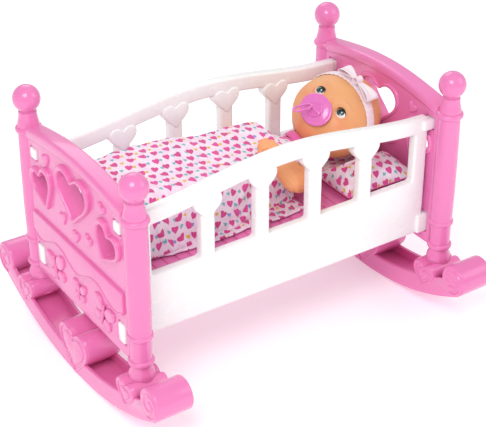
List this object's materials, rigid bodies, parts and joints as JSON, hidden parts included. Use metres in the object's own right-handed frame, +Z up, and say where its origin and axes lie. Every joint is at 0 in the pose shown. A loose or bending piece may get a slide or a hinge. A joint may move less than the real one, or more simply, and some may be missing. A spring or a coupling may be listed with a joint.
{
  "type": "interactive baby doll in rocking cradle",
  "caption": "Interactive baby doll with a pacifier, lying under a blanket in a toy rocking cradle with heart cut-outs, barred side rails and curved rockers.",
  "frame": {"origin": "on the floor under the middle of the cradle, at the height of the rockers' lowest facets", "axes": "+Z up, +X from the cradle's foot end to the end where the doll's head lies, +Y to the doll's right-hand side"},
  "size_m": [0.487, 0.4, 0.3294],
  "materials": {
    "pink_plastic": "glossy moulded",
    "white_plastic": "glossy moulded",
    "screw_steel": "zinc plated",
    "print_fabric": "printed woven",
    "white_fabric": "satin ribbon",
    "skin_vinyl": "soft vinyl",
    "body_plastic": "moulded",
    "inner_plastic": "moulded",
    "battery_wrap": "foil sleeve",
    "board": "lacquered",
    "black_plastic": "moulded",
    "eye_gloss": "high gloss",
    "pacifier_plastic": "translucent glossy",
    "teat_rubber": "clear soft",
    "button_plastic": "glossy"
  },
  "bodies": {
    "cradle": {"foot_panel": "pink_plastic", "head_panel": "pink_plastic", "foot_rocker": "pink_plastic", "head_rocker": "pink_plastic", "side_rail_near": "white_plastic", "side_rail_far": "white_plastic", "bed_floor": "pink_plastic", "pillow": "print_fabric", "post_foot_near": "pink_plastic", "post_foot_far": "pink_plastic", "post_head_near": "pink_plastic", "post_head_far": "pink_plastic", "finial_foot_near": "pink_plastic", "finial_foot_far": "pink_plastic", "finial_head_near": "pink_plastic", "finial_head_far": "pink_plastic", "rocker_screw_foot_near": "screw_steel", "rocker_screw_foot_far": "screw_steel", "rocker_screw_head_near": "screw_steel", "rocker_screw_head_far": "screw_steel"},
    "doll": {"torso_front": "body_plastic", "torso_back": "body_plastic", "neck_plug": "body_plastic", "battery_box": "inner_plastic", "battery_1": "battery_wrap", "battery_2": "battery_wrap", "battery_3": "battery_wrap", "battery_door": "body_plastic", "battery_door_screw": "screw_steel", "circuit_board": "board", "speaker": "black_plastic", "hip_pin": "screw_steel", "dress": "print_fabric", "blanket": "print_fabric"},
    "doll_head": {"head": "skin_vinyl", "eye_left": "eye_gloss", "eye_right": "eye_gloss", "headband": "white_fabric", "bow_loop_left": "white_fabric", "bow_loop_right": "white_fabric", "bow_knot": "white_fabric", "mouth_socket": "inner_plastic"},
    "pacifier": {"pacifier_shield": "pacifier_plastic", "pacifier_teat": "teat_rubber", "pacifier_knob": "pacifier_plastic"},
    "pacifier_handle": {"pacifier_ring": "pacifier_plastic"},
    "mouth_sensor": {"mouth_plunger": "black_plastic"},
    "left_arm": {"arm_left": "skin_vinyl"},
    "right_arm": {"arm_right": "skin_vinyl"},
    "left_leg": {"leg_left": "skin_vinyl"},
    "right_leg": {"leg_right": "skin_vinyl"},
    "switch_slider": {"power_switch": "black_plastic"},
    "tummy_button": {"belly_button": "button_plastic"}
  },
  "joints": [
    {"name": "doll_lift", "type": "slide", "parent": "cradle", "child": "doll", "axis": [0, 0, 1], "range_m": [0, 0.18]},
    {"name": "head_turn", "type": "hinge", "parent": "doll", "child": "doll_head", "pos_m": [0.09661, 0.01212, 0.21158], "axis": [0.9136, -0.071, 0.4003], "range_deg": [-60, 12]},
    {"name": "left_shoulder", "type": "hinge", "parent": "doll", "child": "left_arm", "pos_m": [0.066, -0.048, 0.1956], "axis": [0, 1, 0], "range_deg": [0, 25]},
    {"name": "right_shoulder", "type": "hinge", "parent": "doll", "child": "right_arm", "pos_m": [0.066, 0.06, 0.1956], "axis": [0, 1, 0], "range_deg": [0, 50]},
    {"name": "left_hip", "type": "hinge", "parent": "doll", "child": "left_leg", "pos_m": [-0.046, -0.015, 0.19], "axis": [0, 1, 0], "range_deg": [0, 7]},
    {"name": "right_hip", "type": "hinge", "parent": "doll", "child": "right_leg", "pos_m": [-0.046, 0.027, 0.19], "axis": [0, 1, 0], "range_deg": [0, 7]},
    {"name": "pacifier_pull", "type": "slide", "parent": "doll_head", "child": "pacifier", "axis": [-0.6797, -0.3751, 0.6304], "range_m": [0, 0.022]},
    {"name": "pacifier_ring_swing", "type": "hinge", "parent": "pacifier", "child": "pacifier_handle", "pos_m": [0.10044, -0.01219, 0.26533], "axis": [0.1122, -0.9024, -0.4161], "range_deg": [-85, 12]},
    {"name": "mouth_plunger_press", "type": "slide", "parent": "doll_head", "child": "mouth_sensor", "axis": [-0.6797, -0.3751, 0.6304], "range_m": [0, 0.0022]},
    {"name": "power_switch_slide", "type": "slide", "parent": "doll", "child": "switch_slider", "axis": [1, 0, 0], "range_m": [0, 0.004]},
    {"name": "belly_button_press", "type": "slide", "parent": "doll", "child": "tummy_button", "axis": [0, 0, -1], "range_m": [0, 0.002], "stiffness_N_per_m": 400}
  ],
  "couplings": [
    {"joint": "mouth_plunger_press", "follows": "pacifier_pull", "ratio": 0.1}
  ]
}
